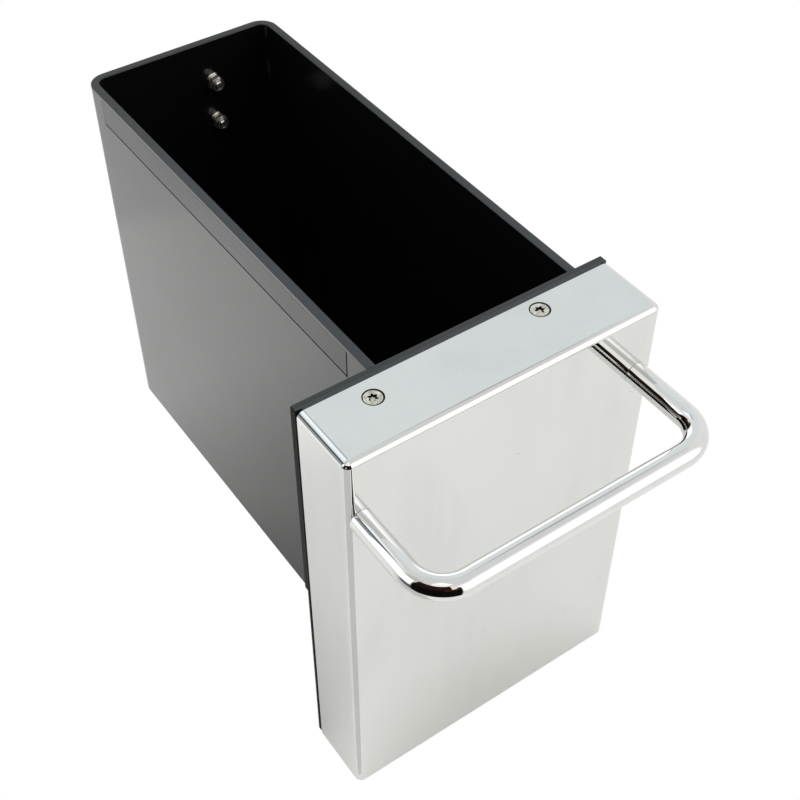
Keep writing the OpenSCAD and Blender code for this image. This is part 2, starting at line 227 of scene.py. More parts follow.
def cut_edge(name, shade, rough):
    """Sawn and scraped edge of the black sheet: slate grey and satin, going darker
    towards the rear and the right."""
    mat, tree, shader = clear_material(name)
    vector = mapped(tree, (1, 1, 6))
    grain = noise(tree, vector, 260, 4, 0.6)
    grained = mix(tree, "MIX", grain, [c * shade for c in (0.030, 0.035, 0.040)],
               [c * shade for c in (0.042, 0.048, 0.054)])
    # Blends to near-black towards the rear and the right.
    place = add(tree, "ShaderNodeSeparateXYZ")
    tree.links.new(mapped(tree), place.inputs[0])
    across = maths(tree, "MULTIPLY", place.outputs["X"], 7.0)
    towards_rear_right = maths(tree, "MULTIPLY_ADD", place.outputs["Y"], 5.7, across)
    towards_rear_right.node.use_clamp = True
    colour = mix(tree, "MIX", towards_rear_right, grained, (0.010, 0.012, 0.014))
    tree.links.new(colour, shader.inputs["Base Color"])
    tree.links.new(spread(tree, grain, rough - 0.08, rough + 0.08), shader.inputs["Roughness"])
    bumped(tree, shader, [(grain, 0.10, 0.0002)])
    return mat


def gasket_rubber():
    mat, tree, shader = clear_material("gasket_rubber")
    grain = noise(tree, mapped(tree), 900, 3, 0.6)
    colour = mix(tree, "MIX", grain, (0.004, 0.004, 0.004), (0.011, 0.011, 0.011))
    tree.links.new(colour, shader.inputs["Base Color"])
    tree.links.new(spread(tree, grain, 0.7, 0.9), shader.inputs["Roughness"])
    bumped(tree, shader, [(grain, 0.2, 0.0002)])
    return mat


def plated_steel(name, light, dark, rough_low, rough_high, scale):
    """Plated fastener metal with a cloudy surface and tiny dents."""
    mat, tree, shader = clear_material(name)
    shader.inputs["Metallic"].default_value = 1.0
    cloud = noise(tree, mapped(tree), scale, 5, 0.65, 0.4)
    contrast = ramp(tree, cloud, [(0.35, 0.0), (0.68, 1.0)])
    tree.links.new(mix(tree, "MIX", contrast, dark, light), shader.inputs["Base Color"])
    tree.links.new(spread(tree, cloud, rough_high, rough_low), shader.inputs["Roughness"])
    dents = noise(tree, mapped(tree), scale * 2.4, 2, 0.5)
    bumped(tree, shader, [(dents, 0.25, 0.00012)])
    return mat


def sink_painted_shade():
    """Countersink and recess walls: dull machined metal made near-black, painted shade
    for the shade in these hollows.
    """
    mat, tree, shader = clear_material("sink_painted_shade")
    shader.inputs["Metallic"].default_value = 1.0
    rings = noise(tree, mapped(tree, (1, 1, 8)), 900, 3, 0.6)
    tint = mix(tree, "MIX", rings, (0.008, 0.007, 0.006), (0.045, 0.042, 0.036))
    tree.links.new(tint, shader.inputs["Base Color"])
    tree.links.new(spread(tree, rings, 0.35, 0.5), shader.inputs["Roughness"])
    bumped(tree, shader, [(rings, 0.15, 0.0001)])
    return mat


def zinc_sheet():
    """Zinc-plated sheet with a faint crystal pattern."""
    mat, tree, shader = clear_material("zinc_sheet")
    shader.inputs["Metallic"].default_value = 1.0
    crystals = add(tree, "ShaderNodeTexVoronoi", Scale=190)
    tree.links.new(mapped(tree), crystals.inputs["Vector"])
    shade = add(tree, "ShaderNodeSeparateColor")
    tree.links.new(crystals.outputs["Color"], shade.inputs["Color"])
    tint = mix(tree, "MIX", shade.outputs[0], (0.50, 0.50, 0.49), (0.66, 0.66, 0.64))
    tree.links.new(tint, shader.inputs["Base Color"])
    tree.links.new(spread(tree, shade.outputs[1], 0.28, 0.42), shader.inputs["Roughness"])
    bumped(tree, shader, [(noise(tree, mapped(tree), 700, 3), 0.1, 0.0001)])
    return mat


def raw_aluminium():
    """Mill-finish aluminium with rolling lines along X."""
    mat, tree, shader = clear_material("raw_aluminium")
    shader.inputs["Metallic"].default_value = 1.0
    lines = noise(tree, mapped(tree, (1, 60, 60)), 30, 4, 0.6)
    tint = mix(tree, "MIX", lines, (0.62, 0.63, 0.64), (0.78, 0.79, 0.80))
    tree.links.new(tint, shader.inputs["Base Color"])
    tree.links.new(spread(tree, lines, 0.28, 0.44), shader.inputs["Roughness"])
    bumped(tree, shader, [(lines, 0.15, 0.0001)])
    return mat


MATERIALS = {
    "mirror_steel": mirror_steel(),
    "handle_chrome": handle_chrome(),
    "black_sheet": black_sheet("black_sheet", (0.0028, 0.0030, 0.0032), 0.20, 1.62),
    "black_plate": black_sheet("black_plate", (0.0060, 0.0063, 0.0068), 0.30, 1.50),
    "glide_plastic": black_sheet("glide_plastic", (0.0030, 0.0033, 0.0036), 0.27, 1.52),
    "gasket_rubber": gasket_rubber(),
    "nickel_steel": plated_steel(
        "nickel_steel", (0.86, 0.83, 0.75), (0.42, 0.39, 0.33), 0.12, 0.30, 460),
    "fastener_steel": plated_steel(
        "fastener_steel", (0.92, 0.90, 0.83), (0.66, 0.64, 0.58), 0.09, 0.20, 480),
    "raw_aluminium": raw_aluminium(),
    "zinc_bracket": zinc_sheet(),
}
CUT_EDGE = cut_edge("cut_edge", 0.78, 0.50)
# Darker copy of the cut edge for the front panel's edges: painted shade.
PANEL_EDGE_PAINTED_SHADE = cut_edge("panel_edge_painted_shade", 0.62, 0.54)
# Lighter copy of the cut edge for the front plate's and the gasket's edges: painted light.
PLATE_EDGE_PAINTED_LIGHT = cut_edge("plate_edge_painted_light", 0.92, 0.50)
# Much darker, rougher copy for the left and right sides of the plates: painted shade.
PLATE_SIDE_PAINTED_SHADE = cut_edge("plate_side_painted_shade", 0.10, 0.85)
# Near-black metal for the countersink seats and the screw recesses: painted shade.
SINK_PAINTED_SHADE = sink_painted_shade()
# Rougher, darker copy of the fastener steel: dull cut ends, and painted shade on faces towards the
# front.
DULL_STEEL_PAINTED_SHADE = plated_steel(
    "dull_steel_painted_shade", (0.50, 0.49, 0.45), (0.28, 0.27, 0.25), 0.36, 0.54, 480)


# ------------------------------------------------------------- mesh building

def piece(name, verts, faces, slot, replaces=(), crease=35):
    """Makes one shown piece: smooth shaded with sharp creases, riding on the frame."""
    mesh = bpy.data.meshes.new(name)
    mesh.from_pydata([Vector(v) for v in verts], [], faces)
    mesh.validate()
    mesh.update()
    mesh.polygons.foreach_set("use_smooth", [True] * len(mesh.polygons))
    mesh.set_sharp_from_angle(angle=radians(crease))
    obj = bpy.data.objects.new(name, mesh)
    bpy.context.scene.collection.objects.link(obj)
    mesh.materials.append(MATERIALS[slot])
    weighted = obj.modifiers.new("weighted_normals", "WEIGHTED_NORMAL")
    weighted.keep_sharp = True
    weighted.weight = 100
    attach(obj, BODY)
    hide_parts(*replaces)
    return obj


def paint_faces(obj, material, chosen):
    """Gives the faces for which chosen(face) is true another material."""
    slots = obj.data.materials
    if material.name not in slots:
        slots.append(material)
    index = slots.find(material.name)
    for face in obj.data.polygons:
        if chosen(face):
            face.material_index = index


def bands(count, rings, closed=True):
    """Quads between neighbouring rings of count points each."""
    faces = []
    span = count if closed else count - 1
    for r in range(rings - 1):
        for i in range(span):
            j = (i + 1) % count
            faces.append([r * count + i, r * count + j, (r + 1) * count + j, (r + 1) * count + i])
    return faces


def arc(centre, radius, start, end, steps):
    """Points of a plane arc, angles in degrees, both ends included."""
    angles = [radians(start + (end - start) * k / steps) for k in range(steps + 1)]
    return [(centre[0] + radius * cos(a), centre[1] + radius * sin(a)) for a in angles]


def rounded_outline(lo, hi, radii, steps=8):
    """Anticlockwise rectangle with its own radius at each corner, from the lower left."""
    (x0, y0), (x1, y1) = lo, hi
    r = radii
    return (arc((x0 + r[0], y0 + r[0]), r[0], 180, 270, steps)
            + arc((x1 - r[1], y0 + r[1]), r[1], 270, 360, steps)
            + arc((x1 - r[2], y1 - r[2]), r[2], 0, 90, steps)
            + arc((x0 + r[3], y1 - r[3]), r[3], 90, 180, steps))


def inset_outline(outline, distance):
    """The anticlockwise outline moved inwards by distance, with mitred corners."""
    moved = []
    count = len(outline)
    for i, (x, y) in enumerate(outline):
        px, py = outline[i - 1]
        nx, ny = outline[(i + 1) % count]
        before = Vector((py - y, x - px)).normalized()
        after = Vector((y - ny, nx - x)).normalized()
        inward = (before + after) / (1 + before.dot(after))
        moved.append((x + inward.x * distance, y + inward.y * distance))
    return moved


def prism(outline, start, end, edge, place, steps=3):
    """A solid with that anticlockwise outline between two heights, its edges rounded by
    edge. place(u, v, w) turns outline and height coordinates into a point."""
    rings = []
    for k in range(steps + 1):
        a = pi / 2 * k / steps
        rings.append((edge * (1 - sin(a)), start + edge * (1 - cos(a))))
    rings += [(inset, end - (height - start)) for inset, height in reversed(rings)]
    verts = [place(u, v, w) for inset, w in rings for u, v in inset_outline(outline, inset)]
    count = len(outline)
    faces = bands(count, len(rings))
    last = (len(rings) - 1) * count
    faces.append(list(range(count))[::-1])
    faces.append([last + i for i in range(count)])
    return verts, faces


def along_y(u, v, w):
    """Outline in X and Z, height along Y, keeping the faces outwards."""
    return (u, -w, v)


def ring_stack(rings, count=72, axis_place=None):
    """A closed solid made of rings round an axis, from its lowest to its highest. Each
    ring is a function of the angle that gives (radius, height), or such a pair."""
    verts = []
    for ring in rings:
        for i in range(count):
            a = 2 * pi * i / count
            radius, height = ring(a) if callable(ring) else ring
            verts.append((radius * cos(a), radius * sin(a), height))
    faces = bands(count, len(rings))
    verts.append((0, 0, sum(v[2] for v in verts[:count]) / count))
    top = verts[(len(rings) - 1) * count:len(rings) * count]
    verts.append((0, 0, sum(v[2] for v in top) / count))
    low, high = len(verts) - 2, len(verts) - 1
    last = (len(rings) - 1) * count
    for i in range(count):
        j = (i + 1) % count
        faces.append([low, j, i])
        faces.append([high, last + i, last + j])
    if axis_place is not None:
        verts = [axis_place @ Vector(v) for v in verts]
    return verts, faces


def joined(parts):
    """Several (verts, faces) as one."""
    verts, faces = [], []
    for part_verts, part_faces in parts:
        base = len(verts)
        verts += part_verts
        faces += [[base + i for i in face] for face in part_faces]
    return verts, faces


# -------------------------------------------------------------------- the bin

STRIP_EDGE = 0.12 * MM          # how sharp the edges of the strips' recesses are
STRIP_GROOVE = 0.7 * MM


def bin_path():
    """Stations along the bin's outer face: (x, y, outward normal, inside a recess?)."""
    x0, x1, y0, y1 = wrap_lo.x, wrap_hi.x, wrap_lo.y, wrap_hi.y
    strip_lo, strip_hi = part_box("left_glide_strip")
    start = strip_lo.y - STRIP_GROOVE
    levels = [(y0, 0), (start - STRIP_EDGE, 0), (start + STRIP_EDGE, 1)]
    levels += [(start + (strip_hi.y - start) * k / 6, 1) for k in range(1, 6)]
    levels += [(strip_hi.y - STRIP_EDGE, 1), (strip_hi.y + STRIP_EDGE, 0)]
    left = [(x0, y, Vector((-1, 0)), deep) for y, deep in levels]
    bend = []
    for k in range(17):
        a = radians(180 - 90 * k / 16)
        normal = Vector((cos(a), sin(a)))
        bend.append((x0 + BEND_R + BEND_R * normal.x, y1 - BEND_R + BEND_R * normal.y, normal, 0))
    right_bend = [(x0 + x1 - x, y, Vector((-n.x, n.y)), d) for x, y, n, d in reversed(bend)]
    right = [(x1, y, Vector((1, 0)), d) for _, y, _, d in reversed(left)]
    return left + bend + right_bend + right


def bin_section(recess_depth):
    """Anticlockwise section of the wall: (depth behind the outer face, height)."""
    strip_lo, strip_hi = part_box("left_glide_strip")
    z0, z1 = wrap_lo.z, wrap_hi.z
    edge = 0.7 * MM
    groove_z = strip_lo.z - STRIP_GROOVE
    points = arc((edge, z1 - edge), edge, 90, 180, 4)
    points += [(0, strip_hi.z + STRIP_EDGE), (recess_depth, strip_hi.z - STRIP_EDGE)]
    points += [(recess_depth, groove_z + STRIP_EDGE), (0, groove_z - STRIP_EDGE)]
    points += [(0, z0 + (groove_z - z0) * k / 4) for k in (3, 2, 1)]
    points += arc((edge, z0 + edge), edge, 180, 270, 4)
    points += arc((WALL - edge, z0 + edge), edge, 270, 360, 4)
    points += [(WALL, z0 + (z1 - z0) * k / 6) for k in (1, 2, 3, 4, 5)]
    points += arc((WALL - edge, z1 - edge), edge, 0, 90, 4)
    return points


def build_bin_wrap():
    strip_lo, strip_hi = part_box("left_glide_strip")
    depth = strip_hi.x - strip_lo.x
    stations = bin_path()
    verts = []
    for x, y, normal, deep in stations:
        section = bin_section(depth * deep)
        verts += [(x - normal.x * d, y - normal.y * d, z) for d, z in section]
    count = len(section)
    faces = [face[::-1] for face in bands(count, len(stations))]
    last = (len(stations) - 1) * count
    faces.append(list(range(count)))
    faces.append([last + i for i in range(count)][::-1])
    wrap = piece("bin_body", verts, faces, "black_sheet", ["bin_wrap"])
    rim = wrap_hi.z - 0.75 * MM
    paint_faces(wrap, CUT_EDGE, lambda f: f.center.z > rim and abs(f.normal.z) > 0.25)


def build_glide_strip(node):
    lo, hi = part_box(node)
    outline = rounded_outline((lo.y, lo.z), (hi.y, hi.z), [0.6 * MM] * 4, 4)
    verts, faces = prism(outline, lo.x, hi.x, 0.18 * MM, lambda u, v, w: (w, u, v))
    piece(node + "_slip", verts, faces, "glide_plastic", [node])


# -------------------------------------------------------------- front plates

def paint_plate_edges(plate, edge):
    paint_faces(plate, edge, lambda f: abs(f.normal.y) < 0.8)
    # The left and right sides take the darkest copy: painted shade.
    paint_faces(plate, PLATE_SIDE_PAINTED_SHADE, lambda f: abs(f.normal.x) > 0.6)


def build_front_panel():
    r_foot, r_top = 3 * MM, 1 * MM
    x0, x1, z0, z1 = panel_lo.x, panel_hi.x, panel_lo.z, panel_hi.z
    outline = (arc((x1 - r_foot, EAR_Z + r_foot), r_foot, 270, 360, 8)
               + arc((x1 - r_top, z1 - r_top), r_top, 0, 90, 5)
               + arc((x0 + r_top, z1 - r_top), r_top, 90, 180, 5)
               + arc((x0 + r_foot, EAR_Z + r_foot), r_foot, 180, 270, 8)
               + [(wrap_lo.x, EAR_Z), (wrap_lo.x, z0), (wrap_hi.x, z0), (wrap_hi.x, EAR_Z)])
    verts, faces = prism(outline, -panel_hi.y, -panel_lo.y, 0.25 * MM, along_y)
    panel = piece("front_panel", verts, faces, "black_sheet", ["bin_front_panel"])
    # Its edges take the darker copy of the cut edge: painted shade.
    paint_plate_edges(panel, PANEL_EDGE_PAINTED_SHADE)


def build_backing_plate():
    foot, top = 5 * MM, 1 * MM
    outline = rounded_outline((plate_lo.x, plate_lo.z), (plate_hi.x, plate_hi.z),
                              [foot, foot, top, top], 10)
    verts, faces = prism(outline, -plate_hi.y, -plate_lo.y, 0.2 * MM, along_y)
    plate = piece("front_plate", verts, faces, "black_plate", ["backing_plate"])
    # Its edges take the lighter copy of the cut edge: painted light.
    paint_plate_edges(plate, PLATE_EDGE_PAINTED_LIGHT)


def box_solid(lo, hi):
    verts = [(x, y, z) for z in (lo[2], hi[2]) for x, y in
             ((lo[0], lo[1]), (hi[0], lo[1]), (hi[0], hi[1]), (lo[0], hi[1]))]
    return verts, bands(4, 2) + [[3, 2, 1, 0], [4, 5, 6, 7]]


def build_gasket():
    """Frame between the plate and the cover; its top edge is flush with both and takes the
    plate edge's lighter copy, painted light.
    """
    lo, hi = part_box("cover_gasket")
    foot, top = 2.2 * MM, 4.5 * MM
    side_w, level_w = 8 * MM, 24 * MM
    outline = rounded_outline((lo.x, lo.z), (hi.x, hi.z), [foot, foot, top, top], 10)
    verts, faces = prism(outline, -hi.y, -lo.y, 0.1 * MM, along_y)
    gasket = piece("gasket_frame", verts, faces, "gasket_rubber", ["cover_gasket"])
    window_lo = (lo.x + side_w, lo.y - side_w, lo.z + 2 * level_w)
    window_hi = (hi.x - side_w, hi.y + side_w, hi.z - level_w)
    cut_with(gasket, *box_solid(window_lo, window_hi))
    # The top edge takes the lighter copy of the cut edge: painted light.
    paint_faces(gasket, PLATE_EDGE_PAINTED_LIGHT, lambda f: f.normal.z > 0.8 and f.center.z > hi.z - 0.5 * MM)


# ------------------------------------------------------------- mirror cover

CORNER_STEPS = 8


def axis_stops(flat_steps, corner_at_end=True):
    """Places along one axis of the cover: (-1 to 0 in the first corner, the flat span's
    share, 0 to 1 in the last corner)."""
    corner = [k / CORNER_STEPS for k in range(CORNER_STEPS)]
    stops = [(-(1 - c), 0.0) for c in corner]
    stops += [(0.0, k / flat_steps) for k in range(flat_steps + 1)]
    if corner_at_end:
        stops += [(1 - c, 1.0) for c in reversed(corner)]
    return stops


def rounded_shell(lo, hi, radii, flats):
    """Box from lo to hi whose edges round off by radii, open at its high Y side. Gives the
    points, the quads, and the indices of the open rim in order."""
    xs, ys, zs = axis_stops(flats[0]), axis_stops(flats[1], False), axis_stops(flats[2])
    inner_lo, inner_hi = lo + radii, hi - radii
    inner_hi.y = hi.y
    index, verts, faces = {}, [], []

    def vertex(i, j, k):
        if (i, j, k) not in index:
            index[i, j, k] = len(verts)
            corner = [stops[n] for stops, n in ((xs, i), (ys, j), (zs, k))]
            direction = Vector([tan(side * pi / 4) for side, _ in corner]).normalized()
            base = [a + (b - a) * share for a, b, (_, share) in zip(inner_lo, inner_hi, corner)]
            verts.append(Vector(base) + Vector([r * d for r, d in zip(radii, direction)]))
        return index[i, j, k]

    ends = (len(xs) - 1, len(ys) - 1, len(zs) - 1)
    for j in range(ends[1]):
        for k in range(ends[2]):
            faces.append([vertex(0, j, k), vertex(0, j, k + 1),
                          vertex(0, j + 1, k + 1), vertex(0, j + 1, k)])
            faces.append([vertex(ends[0], j, k), vertex(ends[0], j + 1, k),
                          vertex(ends[0], j + 1, k + 1), vertex(ends[0], j, k + 1)])
    for i in range(ends[0]):
        for k in range(ends[2]):
            faces.append([vertex(i, 0, k), vertex(i + 1, 0, k),
                          vertex(i + 1, 0, k + 1), vertex(i, 0, k + 1)])
        for j in range(ends[1]):
            faces.append([vertex(i, j, 0), vertex(i, j + 1, 0),
                          vertex(i + 1, j + 1, 0), vertex(i + 1, j, 0)])
            faces.append([vertex(i, j, ends[2]), vertex(i + 1, j, ends[2]),
                          vertex(i + 1, j + 1, ends[2]), vertex(i, j + 1, ends[2])])
    j = ends[1]
    rim = ([vertex(i, j, 0) for i in range(ends[0])]
           + [vertex(ends[0], j, k) for k in range(ends[2])]
           + [vertex(i, j, ends[2]) for i in range(ends[0], 0, -1)]
           + [vertex(0, j, k) for k in range(ends[2], 0, -1)])
    return verts, faces, rim


def cut_with(obj, verts, faces):
    """Takes a closed solid out of obj and keeps the result as its mesh."""
    mesh = bpy.data.meshes.new("cutter")
    mesh.from_pydata(verts, [], faces)
    cutter = bpy.data.objects.new("cutter", mesh)
    bpy.context.scene.collection.objects.link(cutter)
    boolean = obj.modifiers.new("cut", "BOOLEAN")
    boolean.operation = "DIFFERENCE"
    boolean.solver = "EXACT"
    boolean.object = cutter
    weighted = obj.modifiers["weighted_normals"]
    weighted.show_viewport = False
    graph = bpy.context.evaluated_depsgraph_get()
    result = bpy.data.meshes.new_from_object(obj.evaluated_get(graph))
    weighted.show_viewport = True
    obj.modifiers.remove(boolean)
    obj.data = result
    obj.data.polygons.foreach_set("use_smooth", [True] * len(obj.data.polygons))
    obj.data.set_sharp_from_angle(angle=radians(35))
    bpy.data.objects.remove(cutter)


def screw_places(node):
    """Centres of a node's two screws in X and Y, from the two ends of its box."""
    lo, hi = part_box(node)
    head = SUNK_HEAD_R
    half = (lo.x + hi.x) / 2
    points = [v.co for v in nodes[node].data.vertices]
    places = []
    for side in (-1, 1):
        own = [p for p in points if (p.x - half) * side > 0]
        ys = [p.y for p in own]
        x = lo.x + head if side < 0 else hi.x - head
        places.append((x, (min(ys) + max(ys)) / 2))
    return places


def build_cover():
    flats = (6, 3, 8)
    outer, faces, rim = rounded_shell(cover_lo, cover_hi, COVER_R, flats)
    t = Vector((SHEET_T, SHEET_T, SHEET_T))
    inner_hi = cover_hi - t
    inner_hi.y = cover_hi.y
    inner, inner_faces, _ = rounded_shell(cover_lo + t, inner_hi, COVER_R - t, flats)
    base = len(outer)
    verts = outer + inner
    faces += [[base + i for i in face][::-1] for face in inner_faces]
    for a, b in zip(rim, rim[1:] + rim[:1]):
        faces.append([a, b, base + b, base + a])
    cover = piece("mirror_cover", verts, faces, "mirror_steel", ["front_cover"])
    for node, level, side in (("cover_top_screws", COVER_TOP, 1),
                              ("cover_bottom_screws", cover_lo.z, -1)):
        for x, y in screw_places(node):
            cone = [(0.3 * MM, -SINK_R), (SINK_R, 0.0), (SINK_R + 1 * MM, 1 * MM)]
            place = Matrix.Translation((x, y, level))
            if side < 0:
                place = place @ Matrix.Rotation(pi, 4, "X")
            cut_with(cover, *ring_stack(cone, 96, place))
            # The seat's walls take the near-black metal: painted shade.
            paint_faces(cover, SINK_PAINTED_SHADE, lambda f: seat_wall(f, x, y, level))


def seat_wall(face, x, y, level):
    """Is this face part of the 45 degree seat round x and y?"""
    off = Vector((face.center.x - x, face.center.y - y)).length
    deep = abs(face.center.z - level)
    return off < SINK_R and deep < SHEET_T and 0.3 < abs(face.normal.z) < 0.9


# ------------------------------------------------------------------- handle

def handle_line():
    """Centre line of the bow: (point, direction) from the left leg's foot to the right's."""
    x0, x1 = tube_lo.x + TUBE_R, tube_hi.x - TUBE_R
    bar_y = tube_lo.y + TUBE_R
    z = (tube_lo.z + tube_hi.z) / 2
    turn_y = bar_y + TUBE_BEND_R
    line = [((x0, COVER_FACE_Y + (turn_y - COVER_FACE_Y) * k / 6, z), (0, -1, 0)) for k in range(6)]
    steps = 24
    for k in range(steps + 1):
        a = pi / 2 * k / steps
        line.append(((x0 + TUBE_BEND_R * (1 - cos(a)), turn_y - TUBE_BEND_R * sin(a), z),
                     (sin(a), -cos(a), 0)))
    line += [((x0 + TUBE_BEND_R + (x1 - x0 - 2 * TUBE_BEND_R) * k / 12, bar_y, z), (1, 0, 0))
             for k in range(1, 12)]
    mirrored = [((x0 + x1 - p[0], p[1], p[2]), (d[0], -d[1], 0))
                for p, d in reversed(line[:6 + steps + 1])]
    return line + mirrored


def build_handle():
    """The tube with its bore, and a small chamfer where each leg meets the cover."""
    around = 64
    chamfer = 0.25 * MM
    bore = (plug_hi.z - plug_lo.z) / 2
    line = handle_line()
    first, last = line[0], line[-1]
    step = Vector((0, -chamfer, 0))
    outer = [(first[0], first[1], TUBE_R - chamfer),
             (Vector(first[0]) + step, first[1], TUBE_R)]
    outer += [(p, d, TUBE_R) for p, d in line[1:-1]]
    outer += [(Vector(last[0]) + step, last[1], TUBE_R), (last[0], last[1], TUBE_R - chamfer)]
    inner = [(p, d, bore) for p, d in reversed(line)]
    verts = []
    for point, direction, radius in outer + inner:
        along = Vector(direction).normalized()
        side = Vector((0, 0, 1)).cross(along)
        for i in range(around):
            a = 2 * pi * i / around
            verts.append(Vector(point) + (side * cos(a) + Vector((0, 0, sin(a)))) * radius)
    rings = len(outer) + len(inner)
    faces = [face[::-1] for face in bands(around, rings)]
    end = (rings - 1) * around
    for i in range(around):
        j = (i + 1) % around
        faces.append([i, j, end + j, end + i])
    piece("handle_bow", verts, faces, "handle_chrome", ["handle_tube"], crease=50)


# ---------------------------------------------------------------- fasteners

def six_lobe(inner, outer, turn):
    """Radius of a six-lobe recess at an angle."""
    mean, swing = (inner + outer) / 2, (outer - inner) / 2

    def radius(angle):
        wave = cos(6 * (angle - turn))
        return mean + swing * (wave + 0.18 * (wave * wave - 1))
    return radius


HEAD_TOP = -0.12 * MM           # the heads lie just below the cover's surface
SCREW_OFFSET = Vector((-0.15, 0.03, 0)) * MM    # how far each screw sits off its seat's centre
SCREW_L = 12.5 * MM
MOUTH_IN, MOUTH_OUT = 1.68 * MM, 2.60 * MM      # six-lobe recess between and at its lobes
RECESS_DRAFT = 0.10 * MM        # how much narrower the recess is below its mouth


def sunk_screw(place, turn):
    """Countersunk screw with its seat's mouth at the place's origin, head up along Z."""
    top = HEAD_TOP
    cone = top - 0.45 * MM
    lobe = six_lobe(MOUTH_IN - RECESS_DRAFT, MOUTH_OUT - RECESS_DRAFT, turn)
    mouth = six_lobe(MOUTH_IN, MOUTH_OUT, turn)
    crown = 0.07 * MM
    rings = [(M5_R * 0.8, -SCREW_L), (M5_R, 0.4 * MM - SCREW_L), (M5_R, cone - HEAD_R + M5_R),
             (HEAD_R - 0.05 * MM, cone), (HEAD_R, cone + 0.05 * MM),
             (HEAD_R, top - 0.16 * MM), (HEAD_R - 0.05 * MM, top - 0.06 * MM),
             (HEAD_R - 0.18 * MM, top), (HEAD_R * 0.78, top + crown * 0.6),
             (HEAD_R * 0.64, top + crown),
             lambda a: (mouth(a) + 0.10 * MM, top + crown),
             lambda a: (mouth(a), top + crown - 0.05 * MM),
             lambda a: (lobe(a), top - 0.14 * MM),
             lambda a: (lobe(a) * 0.96, top - 1.05 * MM),
             lambda a: (lobe(a) * 0.62, top - 1.15 * MM), (0.3 * MM, top - 1.3 * MM)]
    return ring_stack(rings, 120, place)


def build_cover_screws():
    for node, level, flip in (("cover_top_screws", COVER_TOP, 0),
                              ("cover_bottom_screws", cover_lo.z, pi)):
        solids = []
        places = screw_places(node)
        for (x, y), turn in zip(places, (12, 41)):
            place = Matrix.Translation(Vector((x, y, level)) + SCREW_OFFSET)
            solids.append(sunk_screw(place @ Matrix.Rotation(flip, 4, "X"), radians(turn)))
        screws = piece(node + "_pair", *joined(solids), "nickel_steel", [node], crease=30)
        # The recess walls take the near-black metal: painted shade.
        paint_faces(screws, SINK_PAINTED_SHADE, lambda f: in_recess(f, places, level))


def in_recess(face, places, level):
    """Is this face a wall of a screw's six-lobe recess, or the outer part of its floor?"""
    deep = abs(face.center.z - level)
    offs = [Vector((face.center.x - x - SCREW_OFFSET.x, face.center.y - y - SCREW_OFFSET.y)).length
            for x, y in places]
    return 1.0 * MM < min(offs) < MOUTH_OUT and 0.2 * MM < deep < 2.3 * MM


def hexagon(across, corner=0.25 * MM):
    """Radius of a hexagon with slightly rounded corners at an angle."""
    def radius(angle):
        off = (angle % (pi / 3)) - pi / 6
        return min(across / 2 / cos(off), across / 2 / cos(pi / 6) - corner * 0.35)
    return radius


def hex_solid(height, place, collar=()):
    """M5 hexagon: chamfered on its outer face, a small round at its foot, and on a
    self-locking nut a collar, given as (radius, height) rings."""
    side = hexagon(HEX_ACROSS)
    face_r = HEX_ACROSS / 2 * 0.93
    slope = 0.55                # of the chamfer

    def edge_z(angle):
        return height - max(0.0, side(angle) - face_r) * slope
    rings = [(HEX_ACROSS / 2 * 0.9, 0.0), lambda a: (side(a) - 0.15 * MM, 0.0),
             lambda a: (side(a), 0.15 * MM), lambda a: (side(a), height * 0.45),
             lambda a: (side(a), edge_z(a)), (face_r, height)]
    rings += collar or [(face_r * 0.9, height - 0.06 * MM), (face_r * 0.5, height - 0.08 * MM)]
    return ring_stack(rings, 96, place)


def rod_centres(node):
    """Heights of a node's two bolts and the X of both, from its box."""
    lo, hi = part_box(node)
    half = (hi.x - lo.x) / 2
    return (lo.x + hi.x) / 2, (hi.z - half, lo.z + half)


def towards(x, y, z, direction, turn=0.0):
    """Place whose Z axis points to the front (-1) or the rear (1) along Y."""
    return (Matrix.Translation((x, y, z)) @ Matrix.Rotation(-pi / 2 * direction, 4, "X")
            @ Matrix.Rotation(turn, 4, "Z"))


def build_rear_bolts():
    """Bolts put in from behind: heads outside, thread ends just past the nuts inside."""
    lo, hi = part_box("rear_bolts")
    x, heights = rod_centres("rear_plain_washers")
    seat_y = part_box("rear_outer_washers")[1].y
    length = seat_y - lo.y
    pitch = 0.8 * MM
    thread_l = 11 * MM
    solids = []
    for z, turn in zip(heights, (radians(4), radians(19))):
        solids.append(hex_solid(hi.y - seat_y, towards(x, seat_y, z, 1, turn)))
        rings = [(M5_R, 0.0), (M5_R, length - thread_l)]
        for k in range(int((thread_l - 1 * MM) / pitch)):
            foot = length - thread_l + k * pitch
            rings += [(M5_R, foot + 0.1 * MM), (M5_R - 0.35 * MM, foot + pitch / 2)]
        rings += [(M5_R, length - 0.6 * MM), (M5_R - 0.5 * MM, length)]
        solids.append(ring_stack(rings, 48, towards(x, seat_y, z, -1)))
    bolts = piece("rear_bolt_pair", *joined(solids), "fastener_steel", ["rear_bolts"], crease=28)
    # Faces towards the front, the thread ends among them, take the darker copy: partly dull cut
    # metal, partly painted shade.
    paint_faces(bolts, DULL_STEEL_PAINTED_SHADE, lambda f: f.normal.y < -0.8)


